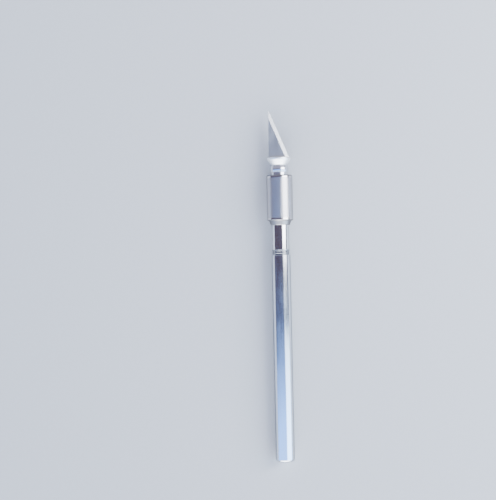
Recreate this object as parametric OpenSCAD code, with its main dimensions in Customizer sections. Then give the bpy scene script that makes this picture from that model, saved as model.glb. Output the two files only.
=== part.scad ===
// Hobby craft knife with a two-jaw collet, closed by a knurled nut through a thrust collar.
// The axis lies along +X, from the flat butt face at the origin towards the blade's tip.
// The blade lies in the XY plane, with its spine at +Y and its cutting edge at -Y.

/* [Blade] */
// Length that stands out of the collet
blade_out = 20.4; // [16:0.2:24]
// Width across the blade
blade_w = 8.7; // [7.6:0.1:9.2]
// Thickness of the sheet
blade_t = 0.6; // [0.4:0.05:0.8]
// How far the tip lies from the axis, on the spine's side
tip_offset = 4.1; // [3.4:0.1:4.3]
// Width of the ground bevel, square to the cutting edge
bevel_w = 1.4; // [0.8:0.1:2]
// Width of the tang that the jaws hold
tang_w = 4.4; // [3.6:0.1:4.6]
// Length of blade inside the collet
tang_len = 17; // [14:0.5:17.5]

/* [Collet] */
// Diameter of the flared head
head_d = 10; // [9.8:0.1:10.8]
// Length of the head's straight rim
rim_len = 0.9; // [0.6:0.1:1]
// Angle of the cone behind the rim, from the axis
cone_angle = 35; // [33:0.5:37]
// Diameter of the split stem
stem_d = 5; // [4.8:0.1:5.1]
// Length of the split jaws
jaw_len = 18.1; // [18:0.1:20]

/* [Thrust collar] */
// Outside diameter of the collar
collar_d = 7.9; // [7.4:0.1:9]
// Diameter of the spigot that the nut pushes on
spigot_d = 6.8; // [6.6:0.1:7]
// Width of the open groove between collar and nut
groove_w = 1.2; // [0.6:0.1:1.6]

/* [Chuck nut] */
// Diameter over the knurl
nut_d = 11.2; // [10:0.1:13]
// Whole length of the nut
nut_len = 21.5; // [20.7:0.1:22.2]
// Length of the tapered tail
tail_len = 1.8; // [1.2:0.1:3]
// Outside diameter of the thread
thread_d = 7; // [6.8:0.1:7.1]

/* [Handle] */
// Diameter of the neck behind the nut
neck_d = 7.3; // [7.2:0.1:7.5]
// Length of the neck, from the seam ring to the thread
neck_len = 12.5; // [10:0.1:16]
// Length of the seam ring
ring_len = 2.2; // [1.8:0.1:3]
// Diameter of the barrel
barrel_d = 8; // [7.8:0.1:9]
// Length of the barrel
barrel_len = 88.7; // [70:0.1:110]
// Wall thickness of the barrel
wall = 1; // [0.8:0.1:1.1]

/* [Hidden] */
$fn = 96;

// Radial clearance of a turning fit, and of a pressed or screwed one
run_gap = 0.05;
press_gap = 0.01;
// How far the nut and the collar back off
nut_travel = 2;
// Small edge break on turned pieces
edge = 0.2;
// Larger than anything here, for cutting away half of a shape
big = 60;

// Handle, from the butt forwards
bore_r = barrel_d / 2 - wall;
mouth_chamfer = 0.1;
plug_len = 8;
plug_chamfer = 0.5;
ring_x = barrel_len;
neck_x = ring_x + ring_len;
thread_x = neck_x + neck_len;
thread_len = 7.6;
thread_end_x = thread_x + thread_len;
relief_len = 1;
relief_r = thread_d / 2 - 0.4;
thread_chamfer = 0.4;
spigot_back_x = barrel_len - 12.6;
spigot_chamfer = 0.5;

// Collet: a screwed shank, a seat flange and the two jaws in front of it
shank_r = 2;
shank_len = 9.5;
shank_room = 0.5;
drill_point = 1.2;
flange_r = 3;
flange_len = 0.8;
root_x = thread_end_x + 1.5;
face_x = root_x + jaw_len;
cone_x = face_x - rim_len;
cone_len = (head_d - stem_d) / 2 / tan(cone_angle);
nose = 0.25;

// Nut and collar: how much of the neck the nut covers, and how far the collar's ring bulges
neck_cover = 1.9;
nut_x = thread_x - neck_cover;
nut_front_x = nut_x + nut_len;
nut_thread_x = thread_x + nut_travel + 0.1;
nut_thread_end_x = thread_end_x + nut_travel + 0.5;
nut_core_r = 3.15;
nut_chamfer = 0.5;
nut_back_gap = 0.07;
counterbore = 2;
tail_front_r = nut_d / 2 - 0.85;
tail_back_r = nut_d / 2 - 1.4;
collar_bore_r = 2.85;
seat_r = 3.1;
seat_gap = 0.04;
collar_face_x = cone_x - (head_d / 2 - seat_r) / tan(cone_angle) - seat_gap;
collar_bulge = 0.25;

// Blade: tip, heel and shoulders
tip_x = face_x + blade_out;
heel_y = -blade_w / 2;
shoulder_x = face_x - 0.7;
shoulder_len = 1.8;
tang_x = face_x - tang_len;
edge_angle = atan((tip_offset - heel_y) / blade_out);
// Half the thickness left at the very edge
edge_land = 0.015;
bevel_angle = atan((blade_t / 2 - edge_land) / bevel_w);
slot_w = 1.6;
slot_len = 7;
slot_x = tang_x + 2.2;
tang_corner = 0.6;

// Seam ring: the beads' size, and how much lower than the neck their sleeve is
bead_r = 0.32;
bead_sink = 0.04;
bead_x = [ring_x + 0.8, neck_x - bead_r];
sleeve_r = neck_d / 2 - 0.15;

// Turns a profile of [station along the axis, radius] points about the knife's axis
module turned(profile) {
    rotate([0, 90, 0]) rotate_extrude() polygon([for (p = profile) [p[1], p[0]]]);
}

// Points of a quarter circle about a centre, from one angle to another
function quarter(x, r, size, from, to, steps = 8) = [
    for (i = [0 : steps])
        let (a = from + (to - from) * i / steps)
            [x + size * cos(a), r + size * sin(a)]
];

module blade_outline() {
    polygon([
        [tip_x, tip_offset],
        [face_x, blade_w / 2],
        [shoulder_x, blade_w / 2],
        [shoulder_x - shoulder_len, tang_w / 2],
        [tang_x + tang_corner, tang_w / 2],
        [tang_x, tang_w / 2 - tang_corner],
        [tang_x, tang_corner - tang_w / 2],
        [tang_x + tang_corner, -tang_w / 2],
        [shoulder_x - shoulder_len, -tang_w / 2],
        [shoulder_x, heel_y],
        [face_x, heel_y]
    ]);
}

// The slot that fills the middle of the tang
module tang_slot() {
    through = 3 * blade_t;
    for (x = [slot_x, slot_x + slot_len])
        translate([x, 0, -through / 2]) cylinder(d = slot_w, h = through);
    translate([slot_x, -slot_w / 2, -through / 2]) cube([slot_len, slot_w, through]);
}

// The metal ground away on one face, down to almost nothing at the cutting edge
module bevel_cut() {
    translate([face_x, heel_y, edge_land])
        rotate([0, 0, edge_angle])
            rotate([bevel_angle, 0, 0])
                translate([-big / 2, -big / 2, 0])
                    cube([big, big, 3 * blade_t]);
}

module blade() {
    color("lightsteelblue")
        difference() {
            translate([0, 0, -blade_t / 2])
                linear_extrude(height = blade_t) blade_outline();
            bevel_cut();
            mirror([0, 0, 1]) bevel_cut();
            tang_slot();
        }
}

// One half of the split collet, on one side of the blade
module collet_jaw() {
    head_r = head_d / 2;
    color("gainsboro")
        intersection() {
            turned(concat(
                [[root_x, 0], [root_x, stem_d / 2], [cone_x - cone_len, stem_d / 2]],
                [[cone_x - edge, head_r - edge * tan(cone_angle)], [cone_x + edge, head_r]],
                quarter(face_x - nose, head_r - nose, nose, 90, 0),
                [[face_x, 0]]
            ));
            translate([root_x - 1, -big / 2, blade_t / 2]) cube([big, big, big / 2]);
        }
}

module collet_jaw_upper() {
    collet_jaw();
}

module collet_jaw_lower() {
    mirror([0, 0, 1]) collet_jaw();
}

// The unsplit end of the collet, screwed into the spindle
module collet_shank() {
    seat_x = thread_end_x;
    r = shank_r - press_gap;
    color("silver")
        turned([
            [root_x, 0], [root_x, stem_d / 2],
            [seat_x + flange_len, stem_d / 2],
            [seat_x + flange_len, flange_r - edge], [seat_x + flange_len - edge, flange_r],
            [seat_x, flange_r], [seat_x, r],
            [seat_x - shank_len + edge, r], [seat_x - shank_len, r - edge],
            [seat_x - shank_len, 0]
        ]);
}

// The ring that the nut pushes up the cone, so that it closes the jaws without twisting them
module thrust_collar() {
    back_x = nut_front_x - counterbore;
    flange_x = nut_front_x + groove_w;
    half_len = (collar_face_x - flange_x) / 2;
    round_r = (half_len * half_len + collar_bulge * collar_bulge) / (2 * collar_bulge);
    turn = asin(half_len / round_r);
    color("gainsboro")
        turned(concat(
            [[back_x, collar_bore_r], [back_x, spigot_d / 2], [flange_x, spigot_d / 2]],
            quarter(flange_x + half_len, collar_d / 2 - round_r, round_r, 90 + turn, 90 - turn, 16),
            [
                [collar_face_x, seat_r],
                [collar_face_x - (seat_r - collar_bore_r) / tan(cone_angle), collar_bore_r]
            ]
        ));
}

module chuck_nut() {
    r = nut_d / 2;
    tail_x = nut_x + tail_len;
    back_bore_r = neck_d / 2 + nut_back_gap;
    thread_bore_r = thread_d / 2 + run_gap;
    front_bore_r = spigot_d / 2 + run_gap;
    color("silver")
        turned([
            [nut_x, back_bore_r], [nut_x, tail_back_r - edge], [nut_x + edge, tail_back_r],
            [tail_x, tail_front_r],
            [tail_x, r - nut_chamfer], [tail_x + nut_chamfer, r],
            [nut_front_x - nut_chamfer, r], [nut_front_x, r - nut_chamfer],
            [nut_front_x, front_bore_r], [nut_front_x - counterbore, front_bore_r],
            [nut_front_x - counterbore, nut_core_r], [nut_thread_end_x, nut_core_r],
            [nut_thread_end_x, thread_bore_r], [nut_thread_x, thread_bore_r],
            [nut_thread_x, back_bore_r]
        ]);
}

// The neck with its thread in front and its pressed spigot behind
module spindle() {
    thread_r = thread_d / 2;
    neck_r = neck_d / 2;
    spigot_r = bore_r - press_gap;
    hole_x = thread_end_x - shank_len - shank_room;
    color("silver")
        turned([
            [spigot_back_x, 0], [spigot_back_x, spigot_r - spigot_chamfer],
            [spigot_back_x + spigot_chamfer, spigot_r],
            [neck_x, spigot_r], [neck_x, neck_r],
            [thread_x - edge, neck_r], [thread_x, neck_r - edge],
            [thread_x, relief_r], [thread_x + relief_len, relief_r],
            [thread_x + relief_len, thread_r],
            [thread_end_x - thread_chamfer, thread_r], [thread_end_x, thread_r - thread_chamfer],
            [thread_end_x, shank_r], [hole_x, shank_r], [hole_x - drill_point, 0]
        ]);
}

// Two fine rounded beads on a sleeve, between the neck and the barrel
module seam_ring() {
    color("gainsboro")
        difference() {
            union() {
                turned([
                    [ring_x, 0], [ring_x, sleeve_r],
                    [neck_x, sleeve_r], [neck_x, 0]
                ]);
                for (x = bead_x)
                    translate([x, 0, 0])
                        rotate([0, 90, 0])
                            rotate_extrude()
                                translate([sleeve_r - bead_sink, 0]) circle(r = bead_r);
            }
            translate([ring_x - 1, 0, 0])
                rotate([0, 90, 0]) cylinder(r = bore_r, h = ring_len + 2);
        }
}

// The drawn tube of the handle, with its mouth chamfered and its butt edge rolled round
module barrel() {
    r = barrel_d / 2;
    color("silver")
        turned(concat(
            quarter(wall, bore_r, wall, 180, 90),
            [[barrel_len - mouth_chamfer, r], [barrel_len, r - mouth_chamfer]],
            [[barrel_len, bore_r]]
        ));
}

// The plug that closes the tube, flush with the butt
module butt_plug() {
    r = bore_r - press_gap;
    color("silver")
        turned([
            [0, 0], [0, r - edge], [edge, r],
            [plug_len - plug_chamfer, r], [plug_len, r - plug_chamfer], [plug_len, 0]
        ]);
}

blade();
collet_jaw_upper();
collet_jaw_lower();
collet_shank();
thrust_collar();
chuck_nut();
spindle();
seam_ring();
barrel();
butt_plug();
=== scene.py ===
"""A hobby craft knife on a pale table, seen from straight above with its blade pointing up the picture.

Lengths are in metres, in the CAD model's frame: the knife's axis is +X, from the butt to the tip, the
blade lies in the XY plane with its cutting edge on the -Y side, and +Z points at the camera.
"""

import math

import bmesh
import bpy
from mathutils import Matrix, Vector


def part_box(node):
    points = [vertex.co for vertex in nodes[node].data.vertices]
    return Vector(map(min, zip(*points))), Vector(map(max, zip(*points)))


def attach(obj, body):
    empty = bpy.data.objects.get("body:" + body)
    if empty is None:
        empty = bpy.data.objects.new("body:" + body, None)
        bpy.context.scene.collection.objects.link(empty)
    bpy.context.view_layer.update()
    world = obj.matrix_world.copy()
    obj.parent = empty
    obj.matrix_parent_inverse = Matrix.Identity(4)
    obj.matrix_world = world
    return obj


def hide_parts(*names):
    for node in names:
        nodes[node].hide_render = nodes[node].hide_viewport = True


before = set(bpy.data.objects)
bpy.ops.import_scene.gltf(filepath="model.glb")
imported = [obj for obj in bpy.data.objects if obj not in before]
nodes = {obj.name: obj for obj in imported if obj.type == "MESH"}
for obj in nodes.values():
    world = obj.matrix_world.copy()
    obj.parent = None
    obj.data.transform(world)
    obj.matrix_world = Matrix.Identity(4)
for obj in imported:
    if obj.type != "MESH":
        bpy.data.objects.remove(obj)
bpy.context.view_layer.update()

MM = 0.001
SEGMENTS = 120  # round a turned piece
SAME = 0.005 * MM  # mesh points closer than this count as one
CORNER_SHARE = 0.35  # of a side's length, the most that a rounded corner takes
EDGE_BREAK = 0.06 * MM
JAW_BREAK = 0.5 * EDGE_BREAK
BLADE_BREAK = 0.4 * EDGE_BREAK

# Where the knife's own parts are, read from the CAD model
half_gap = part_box("blade")[1].z  # from the axis to each jaw's split face
tip_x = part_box("blade")[1].x
nut_low, nut_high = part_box("chuck_nut")
barrel_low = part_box("barrel")[0]

# Where the knife rests on the table, from the rear ends of the nut and the barrel
NUT_REST = 2.3 * MM
BUTT_REST = 1.0 * MM

# Threads: the spindle's, which the nut runs on, and the collet shank's
SPINDLE_THREAD_RADIUS = 3.5 * MM  # over the crests, as in the CAD model
SPINDLE_THREAD_DEPTH = 0.42 * MM
SPINDLE_PITCH = 1.0 * MM
SHANK_THREAD_RADIUS = 1.99 * MM
SHANK_THREAD_DEPTH = 0.3 * MM
SHANK_PITCH = 0.7 * MM
ROWS_PER_TURN = 10
FLANK_STEEPNESS = 1.2  # above 1, the groove has a flat root

# Knurl: crossed grooves, in mesh steps from one groove to the next
KNURL_STARTS = 36
KNURL_STEPS = 10
KNURL_ROW = 0.13 * MM
KNURL_DEPTH = 0.045 * MM
KNURL_HALF_WIDTH = 1.3  # mesh steps
KNURL_RUN_OUT = 3  # rows
KNURL_MARGIN = 0.45 * MM  # plain band at each end of the nut
PLAIN_SHARE = 0.36  # how much of the crests' look the nut's surfaces below the knurl have; the rest is the grooves' painted shade

# Camera and picture
LEAN = math.radians(1.27)  # the knife leans to the picture's left
PICTURE_HEIGHT = 215 * MM
CAMERA_HEIGHT = 600 * MM
AIM_LEFT = 12.8 * MM  # from the axis at the tip's station to the picture's middle
AIM_DOWN = 60.2 * MM
SENSOR = 36  # the camera's own unit, millimetres

# Table
TABLE_HALF_SIZE = 1200 * MM

# Blade
KEEN_SHARE = 0.25  # of its half thickness; nearer its middle plane than this is the cutting edge
BEVEL_SLANT = (0.95, 0.999)  # how far along Z the normal of a ground bevel points
BEVEL_AREA = 5 * MM * MM  # a slanting face larger than this is a ground bevel

# Light: a zone of the studio begins and is full where a direction points this far along X
LIGHT_DISTANCE = 500 * MM
TIPWARDS = (0.062, 0.105)
BUTTWARDS = (-0.09, -0.20)
BUTTWARDS_POWER = 1.3
WALL = (-0.24, -0.40)
LOW_WALL = (-0.62, -0.76)
OVERHEAD_COLOUR = (0.11, 0.08, 0.115, 1)
TIPWARDS_COLOUR = (0.58, 0.56, 0.74, 1)
BUTTWARDS_COLOUR = (0.95, 2.0, 4.5, 1)
WALL_COLOUR = (1.2, 1.45, 2.0, 1)
LOW_WALL_COLOUR = (11, 11.5, 12, 1)


# --- Outlines of turned pieces ----------------------------------------------------------------


def outline(node):
    """The (x, radius) points along the outline of a turned CAD node."""
    mesh = nodes[node].data
    places, keys = {}, []
    for vertex in mesh.vertices:
        x, y, z = vertex.co
        r = math.hypot(y, z)
        key = (round(x / SAME), round(r / SAME))
        places.setdefault(key, (x, r))
        keys.append(key)
    is_jaw = node.startswith("collet_jaw")
    on_split = [is_jaw and abs(abs(v.co.z) - half_gap) < SAME for v in mesh.vertices]
    beside = {}
    for edge in mesh.edges:
        i, j = edge.vertices
        if keys[i] != keys[j] and not (on_split[i] and on_split[j]):
            beside.setdefault(keys[i], set()).add(keys[j])
            beside.setdefault(keys[j], set()).add(keys[i])
    ends = sorted(key for key, near in beside.items() if len(near) == 1)
    chain = [ends[0] if ends else min(beside)]
    while True:
        ahead = sorted(key for key in beside[chain[-1]] if key not in chain)
        if not ahead:
            return [places[key] for key in chain]
        chain.append(ahead[-1])


def capped(chain):
    """An open outline carried in to the axis at both ends."""
    first, last = chain[0], chain[-1]
    front = [] if first[1] < SAME else [(first[0], 0.0)]
    back = [] if last[1] < SAME else [(last[0], 0.0)]
    return front + chain + back


def softened(chain, size, closed=False, least_turn=20, steps=3):
    """The outline with its sharp corners rounded, and a point beside each that keeps the flats flat."""
    out = []
    for i, corner in enumerate(chain):
        here = Vector(corner)
        back = Vector(chain[i - 1]) - here
        ahead = Vector(chain[(i + 1) % len(chain)]) - here
        at_end = not closed and i in (0, len(chain) - 1)
        if at_end or math.degrees(back.angle(-ahead)) < least_turn:
            out.append(tuple(here))
            continue
        cut = min(size, CORNER_SHARE * back.length, CORNER_SHARE * ahead.length)
        first, last = here + back.normalized() * cut, here + ahead.normalized() * cut
        if back.length > 4 * cut:
            out.append(tuple(first + back.normalized() * cut * 0.5))
        for k in range(steps + 1):
            t = k / steps
            out.append(tuple(first * (1 - t) ** 2 + here * 2 * t * (1 - t) + last * t**2))
        if ahead.length > 4 * cut:
            out.append(tuple(last + ahead.normalized() * cut * 0.5))
    return out


def with_rows(chain, radius, spacing):
    """The outline with extra points, a spacing apart, along its longest stretch of that radius."""
    level = [
        (abs(b[0] - a[0]), i)
        for i, (a, b) in enumerate(zip(chain, chain[1:]))
        if max(abs(a[1] - radius), abs(b[1] - radius)) < SAME
    ]
    length, i = max(level)
    count = round(length / spacing)
    a, b = chain[i], chain[i + 1]
    extra = [(a[0] + (b[0] - a[0]) * k / count, radius) for k in range(1, count)]
    return chain[: i + 1] + extra + chain[i + 1 :]


# --- Meshes -----------------------------------------------------------------------------------


def add_ring(bm, x, radius, count=SEGMENTS, relief=None):
    """Points in a ring about the axis, or one point on it; relief(x, angle) moves them outwards."""
    if radius < SAME:
        return [bm.verts.new((x, 0, 0))]
    ring = []
    for i in range(count):
        angle = 2 * math.pi * i / count
        r = radius + (relief(x, angle) if relief else 0)
        ring.append(bm.verts.new((x, r * math.cos(angle), r * math.sin(angle))))
    return ring


def join_rings(bm, a, b):
    """Faces between two rings; one may be a single point, or have a multiple of the other's points."""
    if len(a) > len(b):
        a, b = b, a
    if len(a) == 1:
        for i, vertex in enumerate(b):
            bm.faces.new((a[0], vertex, b[(i + 1) % len(b)]))
        return
    share = len(b) // len(a)
    for i, vertex in enumerate(a):
        fine = [b[(i * share + k) % len(b)] for k in range(share + 1)]
        bm.faces.new([a[(i + 1) % len(a)], vertex, *fine])


def ease(bm, edges, size):
    """Break sharp edges with a narrow rounded bevel."""
    bmesh.ops.bevel(bm, geom=edges, offset=size, segments=2, affect="EDGES", clamp_overlap=True)


def make_piece(name, bm, smooth_angle=40):
    """A mesh object from bm, smooth except where its faces meet sharply."""
    bmesh.ops.recalc_face_normals(bm, faces=bm.faces)
    mesh = bpy.data.meshes.new(name)
    bm.to_mesh(mesh)
    bm.free()
    mesh.shade_smooth()
    mesh.set_sharp_from_angle(angle=math.radians(smooth_angle))
    piece = bpy.data.objects.new(name, mesh)
    bpy.context.scene.collection.objects.link(piece)
    return piece


def turned(name, chain, closed=False):
    """A solid of revolution about the knife's axis."""
    bm = bmesh.new()
    rings = [add_ring(bm, x, r) for x, r in chain]
    for a, b in zip(rings, rings[1:]):
        join_rings(bm, a, b)
    if closed:
        join_rings(bm, rings[-1], rings[0])
    return make_piece(name, bm)


def half_turned(name, chain, side):
    """The part of a solid of revolution on one side of the blade, with its inner edges broken."""
    steps = SEGMENTS // 2
    bm = bmesh.new()
    rows = []
    for x, r in chain:
        start = math.asin(half_gap / r)
        angles = [start + (math.pi - 2 * start) * i / steps for i in range(steps + 1)]
        rows.append([bm.verts.new((x, r * math.cos(a), side * r * math.sin(a))) for a in angles])
    for a, b in zip(rows, rows[1:]):
        for i in range(steps):
            bm.faces.new((a[i], a[i + 1], b[i + 1], b[i]))
        bm.faces.new((a[0], b[0], b[-1], a[-1]))
    bm.faces.new(rows[0])
    bm.faces.new(rows[-1])
    bmesh.ops.recalc_face_normals(bm, faces=bm.faces)
    bmesh.ops.dissolve_limit(bm, angle_limit=math.radians(0.5), verts=bm.verts, edges=bm.edges)
    rim = [e for e in bm.edges if e.calc_face_angle(0) > math.radians(40)]
    ease(bm, rim, JAW_BREAK)
    return make_piece(name, bm, 30)


# --- Threads and knurl ------------------------------------------------------------------------


def male_thread(low_x, high_x, depth, pitch):
    """Relief of a right-hand thread cut into a cylinder between two stations."""

    def relief(x, angle):
        phase = (x / pitch - angle / (2 * math.pi)) % 1
        groove = 1 - abs(2 * phase - 1)
        run_out = min(1.0, (x - low_x) / pitch, (high_x - x) / pitch)
        return -depth * max(0.0, run_out) * min(1.0, FLANK_STEEPNESS * groove)

    return relief


def groove_share(step):
    """How much of the knurl's depth there is, a number of mesh steps from a groove's middle."""
    away = min(step % KNURL_STEPS, -step % KNURL_STEPS)
    return max(0.0, 1 - away / KNURL_HALF_WIDTH)


def add_knurl(bm, low_x, high_x, radius):
    """Crossed grooves cut into a cylinder; each square is split along the groove that it lies in."""
    count = KNURL_STARTS * KNURL_STEPS
    rows = round((high_x - low_x) / KNURL_ROW)
    rings = []
    for j in range(rows + 1):
        share = min(1.0, j / KNURL_RUN_OUT, (rows - j) / KNURL_RUN_OUT)
        ring = []
        for i in range(count):
            r = radius - KNURL_DEPTH * share * max(groove_share(i + j), groove_share(i - j))
            angle = 2 * math.pi * i / count
            x = low_x + (high_x - low_x) * j / rows
            ring.append(bm.verts.new((x, r * math.cos(angle), r * math.sin(angle))))
        rings.append(ring)
    for j, (near, far) in enumerate(zip(rings, rings[1:])):
        for i in range(count):
            n = (i + 1) % count
            a, b, c, d = near[i], near[n], far[n], far[i]
            if groove_share(i + j + 1) > 0:
                bm.faces.new((a, b, d))
                bm.faces.new((b, c, d))
            elif groove_share(i - j) > 0:
                bm.faces.new((a, b, c))
                bm.faces.new((a, c, d))
            else:
                bm.faces.new((a, b, c, d))
    return rings


# --- Materials --------------------------------------------------------------------------------


def add(tree, kind, inputs=(), **settings):
    """A shader node with its settings made and its inputs set or linked."""
    node = tree.nodes.new(kind)
    for name, value in settings.items():
        setattr(node, name, value)
    for key, value in dict(inputs).items():
        if isinstance(value, bpy.types.NodeSocket):
            tree.links.new(value, node.inputs[key])
        else:
            node.inputs[key].default_value = value
    return node


def place(tree, scale=(1, 1, 1)):
    """The point being shaded, in the knife's own frame in metres, stretched by a scale."""
    coords = add(tree, "ShaderNodeTexCoord")
    inputs = {0: coords.outputs["Object"], 1: scale}
    return add(tree, "ShaderNodeVectorMath", inputs, operation="MULTIPLY").outputs[0]


def noise(tree, scale, detail=2.0):
    """Noise with its grain's size along each axis given as grains per metre."""
    inputs = {"Vector": place(tree, scale), "Scale": 1.0, "Detail": detail}
    return add(tree, "ShaderNodeTexNoise", inputs).outputs["Fac"]


def spread(tree, value, low, high, in_low=0.3, in_high=0.7):
    """A value from one span carried over to another."""
    inputs = {"Value": value, "From Min": in_low, "From Max": in_high, "To Min": low, "To Max": high}
    return add(tree, "ShaderNodeMapRange", inputs).outputs["Result"]


def blend(tree, factor, a, b):
    """A colour between two, by a factor."""
    inputs = {0: factor, 6: a, 7: b}
    return add(tree, "ShaderNodeMix", inputs, data_type="RGBA").outputs[2]


def metal(name, grazing=1.0):
    """A new metal material, as its node tree and its shader; grazing dims its reflection where it's seen
    edge-on, a painted shade along the outlines.
    """
    material = bpy.data.materials.new(name)
    material.use_nodes = True
    shader = material.node_tree.nodes["Principled BSDF"]
    shader.inputs["Metallic"].default_value = 1.0
    # Painted shade along the outlines, less of it the nearer grazing is to 1
    shader.inputs["Specular Tint"].default_value = (grazing, grazing, grazing, 1)
    return material, material.node_tree, shader


def connect(tree, shader, colour, roughness, height, depth):
    """Colour, roughness and a bump of a real depth in metres, put on the shader."""
    tree.links.new(colour, shader.inputs["Base Color"])
    tree.links.new(roughness, shader.inputs["Roughness"])
    bump = add(tree, "ShaderNodeBump", {"Height": height, "Distance": depth, "Strength": 1.0})
    tree.links.new(bump.outputs["Normal"], shader.inputs["Normal"])


def drawn_aluminium():
    """Satin tube, with long fine drawing lines and faint cloudy patches from handling."""
    # A grazing of 0.15 paints strong shade along the tube's outlines
    material, tree, shader = metal("drawn_aluminium", 0.15)
    lines = noise(tree, (60, 4200, 4200))
    clouds = noise(tree, (90, 260, 260), 3.0)
    colour = blend(tree, clouds, (0.66, 0.70, 0.77, 1), (0.80, 0.83, 0.88, 1))
    rough = add(tree, "ShaderNodeMath", {0: lines, 1: clouds}, operation="ADD").outputs[0]
    connect(tree, shader, colour, spread(tree, rough, 0.12, 0.20, 0.7, 1.3), lines, 0.005 * MM)
    return material


def turned_aluminium(name, dark, light, low_rough, high_rough, ring_depth, grazing=0.5):
    """Bright metal with the fine rings that a lathe tool leaves round it."""
    material, tree, shader = metal(name, grazing)
    rings = noise(tree, (5200, 30, 30))
    clouds = noise(tree, (400, 500, 500), 3.0)
    colour = blend(tree, clouds, dark, light)
    connect(tree, shader, colour, spread(tree, rings, low_rough, high_rough), rings, ring_depth)
    return material


def knurled_aluminium(radius):
    """Metal that is smooth on the crests of a knurl of that radius and rough in its grooves, with painted
    shade: near-black in the grooves and a darkened grey on the crests.
    """
    material, tree, shader = metal("knurled_aluminium", 0.5)
    parts = add(tree, "ShaderNodeVectorMath", {0: place(tree), 1: (0, 1, 1)}, operation="MULTIPLY")
    out = add(tree, "ShaderNodeVectorMath", {0: parts.outputs[0]}, operation="LENGTH").outputs["Value"]
    crest = spread(tree, out, 0.0, 1.0, radius - KNURL_DEPTH, radius - 0.1 * KNURL_DEPTH)
    plain = spread(tree, out, PLAIN_SHARE, 0.0, radius - 3 * KNURL_DEPTH, radius - 2 * KNURL_DEPTH)
    crest = add(tree, "ShaderNodeMath", {0: crest, 1: plain}, operation="MAXIMUM").outputs[0]
    grain = noise(tree, (2600, 2600, 2600))
    # Painted shade: near-black in the grooves, and the crests a darker grey than bare aluminium
    colour = blend(tree, crest, (0.04, 0.04, 0.045, 1), (0.66, 0.64, 0.66, 1))
    rough = add(tree, "ShaderNodeMath", {0: crest, 1: grain, 2: 0.5}, operation="MULTIPLY_ADD")
    rough = spread(tree, rough.outputs[0], 0.40, 0.13, 0.5, 1.0)
    connect(tree, shader, colour, rough, grain, 0.001 * MM)
    return material


def ground_steel():
    """The blade's faces: satin sheet, with grinding lines along it."""
    material, tree, shader = metal("ground_steel")
    lines = noise(tree, (90, 5200, 900))
    clouds = noise(tree, (160, 320, 320), 3.0)
    colour = blend(tree, clouds, (0.44, 0.46, 0.49, 1), (0.58, 0.60, 0.63, 1))
    rough = add(tree, "ShaderNodeMath", {0: lines, 1: clouds}, operation="ADD").outputs[0]
    connect(tree, shader, colour, spread(tree, rough, 0.28, 0.42, 0.7, 1.3), lines, 0.003 * MM)
    return material


def honed_steel_painted_highlight():
    """The blade's bevels: coloured lighter than the faces as a painted highlight, with fine lines across
    the cutting edge.
    """
    material, tree, shader = metal("honed_steel_painted_highlight")
    lines = noise(tree, (5200, 1600, 900))
    clouds = noise(tree, (700, 700, 700))
    colour = blend(tree, clouds, (0.66, 0.68, 0.71, 1), (0.76, 0.78, 0.80, 1))
    connect(tree, shader, colour, spread(tree, lines, 0.22, 0.34), lines, 0.003 * MM)
    return material


def table_top():
    """Matt pale board with a barely visible tooth."""
    material = bpy.data.materials.new("table_top")
    material.use_nodes = True
    tree = material.node_tree
    shader = tree.nodes["Principled BSDF"]
    shader.inputs["Roughness"].default_value = 0.7
    shader.inputs["Specular IOR Level"].default_value = 0.2
    tooth = noise(tree, (900, 900, 900))
    colour = blend(tree, tooth, (0.47, 0.48, 0.50, 1), (0.50, 0.51, 0.53, 1))
    tree.links.new(colour, shader.inputs["Base Color"])
    return material


# --- The knife's pieces -----------------------------------------------------------------------


def take_place(piece, node, body, slot, *materials):
    """The piece stands for the CAD node, moves with its body and wears the materials."""
    for material in materials:
        piece.data.materials.append(material)
    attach(piece, body)
    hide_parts(node)


def make_barrel(material):
    chain = softened(outline("barrel"), EDGE_BREAK, closed=True)
    piece = turned("barrel_tube", chain, closed=True)
    take_place(piece, "barrel", "handle", "barrel_aluminium", material)


def make_butt_plug(material):
    piece = turned("butt_disc", softened(capped(outline("butt_plug")), EDGE_BREAK))
    take_place(piece, "butt_plug", "handle", "barrel_aluminium", material)


def make_seam_ring(material):
    chain = softened(outline("seam_ring"), EDGE_BREAK, closed=True)
    piece = turned("twin_bead_ring", chain, closed=True)
    take_place(piece, "seam_ring", "handle", "ring_aluminium", material)


def make_threaded(name, node, crest, depth, pitch, body, slot, material):
    """A turned piece with a thread on its longest stretch of the crest's radius."""
    chain = with_rows(softened(capped(outline(node)), EDGE_BREAK), crest, pitch / ROWS_PER_TURN)
    xs = [x for x, r in chain if abs(r - crest) < SAME]
    relief = male_thread(min(xs), max(xs), depth, pitch)
    bm = bmesh.new()
    rings = [add_ring(bm, x, r, relief=relief if abs(r - crest) < SAME else None) for x, r in chain]
    for a, b in zip(rings, rings[1:]):
        join_rings(bm, a, b)
    take_place(make_piece(name, bm), node, body, slot, material)


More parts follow.
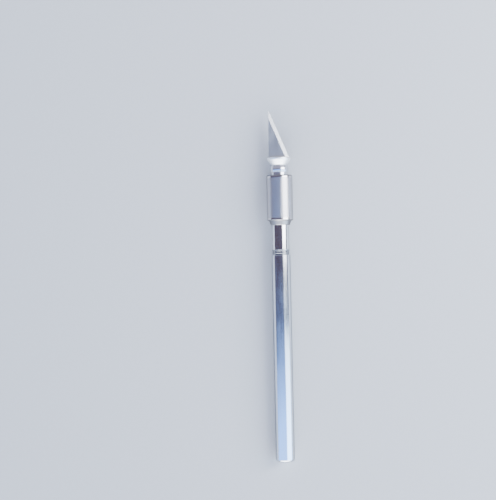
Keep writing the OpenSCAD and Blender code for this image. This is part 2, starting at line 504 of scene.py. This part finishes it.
def make_nut(material):
    """The nut, knurled on its longest outer stretch, with fewer segments inside than outside."""
    chain = softened(outline("chuck_nut"), EDGE_BREAK, closed=True)
    radius = max(r for x, r in chain)
    inner = min(r for x, r in chain)
    outside = [i for i in range(len(chain)) if chain[i][1] > radius - SAME]
    start = max((math.dist(chain[i - 1], chain[i]), i) for i in outside)[1]
    chain = chain[start:] + chain[:start]  # it now begins and ends at the two ends of that stretch
    if chain[0][0] > chain[-1][0]:
        chain.reverse()
    fine = KNURL_STARTS * KNURL_STEPS
    bm = bmesh.new()
    rings = [add_ring(bm, x, r, fine if r > 0.5 * (radius + inner) else SEGMENTS) for x, r in chain]
    for a, b in zip(rings, rings[1:]):
        join_rings(bm, a, b)
    knurl = add_knurl(bm, chain[0][0] + KNURL_MARGIN, chain[-1][0] - KNURL_MARGIN, radius)
    join_rings(bm, rings[0], knurl[0])
    join_rings(bm, knurl[-1], rings[-1])
    take_place(make_piece("knurled_nut", bm), "chuck_nut", "nut", "nut_aluminium", material)


def make_collar(material):
    chain = softened(outline("thrust_collar"), EDGE_BREAK, closed=True)
    piece = turned("closing_collar", chain, closed=True)
    take_place(piece, "thrust_collar", "collar", "collar_aluminium", material)


def make_jaw(which, side, material):
    chain = softened(outline(f"collet_jaw_{which}"), EDGE_BREAK)
    piece = half_turned(f"jaw_{which}", chain, side)
    take_place(piece, f"collet_jaw_{which}", f"jaw_{which}", "collet_aluminium", material)


def make_blade(face, bevel):
    """The CAD blade with its long edges eased and its bevels in a lighter steel, a painted highlight."""
    bm = bmesh.new()
    bm.from_mesh(nodes["blade"].data)
    bmesh.ops.remove_doubles(bm, verts=bm.verts, dist=0.1 * SAME)
    bmesh.ops.dissolve_limit(bm, angle_limit=math.radians(1), verts=bm.verts, edges=bm.edges)
    keen = KEEN_SHARE * half_gap
    sharp = [e for e in bm.edges if e.calc_face_angle(0) > math.radians(60)]
    eased = [e for e in sharp if max(abs(v.co.z) for v in e.verts) > keen]
    ease(bm, eased, BLADE_BREAK)
    bm.normal_update()
    low, high = BEVEL_SLANT
    for f in bm.faces:
        f.material_index = int(low < abs(f.normal.z) < high and f.calc_area() > BEVEL_AREA)
    piece = make_piece("craft_blade", bm, 8)
    take_place(piece, "blade", "blade", "blade_steel", face, bevel)


# --- Table, light and camera ------------------------------------------------------------------


def make_table():
    """A pale board that the nut's rear edge and the barrel's butt rest on."""
    front = Vector((nut_low.x + NUT_REST, 0, nut_low.z))
    back = Vector((barrel_low.x + BUTT_REST, 0, barrel_low.z))
    along = (front - back).normalized()
    across = Vector((0, 1, 0))
    bm = bmesh.new()
    for u, v in ((-1, -1), (1, -1), (1, 1), (-1, 1)):
        bm.verts.new(back + along * u * TABLE_HALF_SIZE + across * v * TABLE_HALF_SIZE)
    bm.faces.new(bm.verts)
    table = make_piece("table", bm)
    table.data.materials.append(table_top())


def add_softbox(name, x, tilt, width, length, radiance):
    """A soft light that faces a station on the axis, moved over to -Y by a tilt in degrees."""
    data = bpy.data.lights.new(name, "AREA")
    data.shape = "RECTANGLE"
    data.size, data.size_y = length, width
    data.energy = math.pi * width * length
    data.color = radiance
    lamp = bpy.data.objects.new(name, data)
    bpy.context.scene.collection.objects.link(lamp)
    angle = math.radians(tilt)
    out = Vector((0, -math.sin(angle), math.cos(angle)))
    along = Vector((1, 0, 0))
    turn = Matrix((along, out.cross(along), out)).transposed()
    lamp.matrix_world = Matrix.Translation(Vector((x, 0, 0)) + out * LIGHT_DISTANCE) @ turn.to_4x4()


def make_world():
    """A studio that is dark overhead, paler past the tip and brighter and brighter past the butt."""
    world = bpy.data.worlds.new("studio")
    world.use_nodes = True
    tree = world.node_tree
    coords = add(tree, "ShaderNodeTexCoord")
    x = add(tree, "ShaderNodeSeparateXYZ", {0: coords.outputs["Generated"]}).outputs["X"]
    tipwards = spread(tree, x, 0.0, 1.0, *TIPWARDS)
    rise = {0: spread(tree, x, 0.0, 1.0, *BUTTWARDS), 1: BUTTWARDS_POWER}
    buttwards = add(tree, "ShaderNodeMath", rise, operation="POWER").outputs[0]
    wall = spread(tree, x, 0.0, 1.0, *WALL)
    low_wall = spread(tree, x, 0.0, 1.0, *LOW_WALL)
    light = blend(tree, tipwards, OVERHEAD_COLOUR, TIPWARDS_COLOUR)
    light = blend(tree, buttwards, light, BUTTWARDS_COLOUR)
    light = blend(tree, wall, light, WALL_COLOUR)
    light = blend(tree, low_wall, light, LOW_WALL_COLOUR)
    tree.links.new(light, tree.nodes["Background"].inputs["Color"])
    bpy.context.scene.world = world


def make_camera():
    """Straight above, so that the knife leans a little in the picture."""
    right = Vector((-math.sin(LEAN), -math.cos(LEAN), 0))
    up = Vector((math.cos(LEAN), -math.sin(LEAN), 0))
    towards = right.cross(up)
    aim = Vector((tip_x, 0, 0)) - right * AIM_LEFT - up * AIM_DOWN
    data = bpy.data.cameras.new("camera")
    data.sensor_width = SENSOR
    data.lens = SENSOR * CAMERA_HEIGHT / PICTURE_HEIGHT
    camera = bpy.data.objects.new("camera", data)
    bpy.context.scene.collection.objects.link(camera)
    turn = Matrix((right, up, towards)).transposed()
    camera.matrix_world = Matrix.Translation(aim + towards * CAMERA_HEIGHT) @ turn.to_4x4()
    bpy.context.scene.camera = camera


barrel_metal = drawn_aluminium()
head_metal = turned_aluminium(
    "satin_turned_aluminium",
    dark=(0.90, 0.91, 0.92, 1),
    light=(0.95, 0.955, 0.96, 1),
    low_rough=0.36,
    high_rough=0.48,
    ring_depth=0.003 * MM,
    grazing=1.0,
)
# Painted shade: the collar's aluminium is coloured darker than the bare metal
collar_metal = turned_aluminium(
    "bright_turned_aluminium",
    dark=(0.66, 0.68, 0.74, 1),
    light=(0.76, 0.78, 0.83, 1),
    low_rough=0.16,
    high_rough=0.26,
    ring_depth=0.002 * MM,
    grazing=0.8,
)
# Painted shade: the seam ring's aluminium is coloured far darker than the bare metal
ring_metal = turned_aluminium(
    "turned_aluminium_painted_shade",
    dark=(0.30, 0.31, 0.34, 1),
    light=(0.40, 0.41, 0.44, 1),
    low_rough=0.14,
    high_rough=0.22,
    ring_depth=0.002 * MM,
)
neck_metal = turned_aluminium(
    "polished_aluminium",
    dark=(0.74, 0.77, 0.81, 1),
    light=(0.84, 0.86, 0.89, 1),
    low_rough=0.09,
    high_rough=0.16,
    ring_depth=0.001 * MM,
)

make_barrel(barrel_metal)
make_butt_plug(barrel_metal)
make_seam_ring(ring_metal)
make_threaded(
    "neck_spindle",
    "spindle",
    crest=SPINDLE_THREAD_RADIUS,
    depth=SPINDLE_THREAD_DEPTH,
    pitch=SPINDLE_PITCH,
    body="handle",
    slot="neck_aluminium",
    material=neck_metal,
)
make_threaded(
    "collet_stem",
    "collet_shank",
    crest=SHANK_THREAD_RADIUS,
    depth=SHANK_THREAD_DEPTH,
    pitch=SHANK_PITCH,
    body="handle",
    slot="collet_aluminium",
    material=head_metal,
)
make_nut(knurled_aluminium(nut_high.y))
make_collar(collar_metal)
make_jaw("upper", 1, head_metal)
make_jaw("lower", -1, head_metal)
make_blade(ground_steel(), honed_steel_painted_highlight())

make_table()
add_softbox("key_softbox", x=0.197, tilt=48, width=0.42, length=0.205, radiance=(13.6, 14, 14.4))
add_softbox("fill_softbox", x=-0.158, tilt=56, width=0.62, length=0.33, radiance=(3.3, 4.2, 4.8))
make_world()
make_camera()
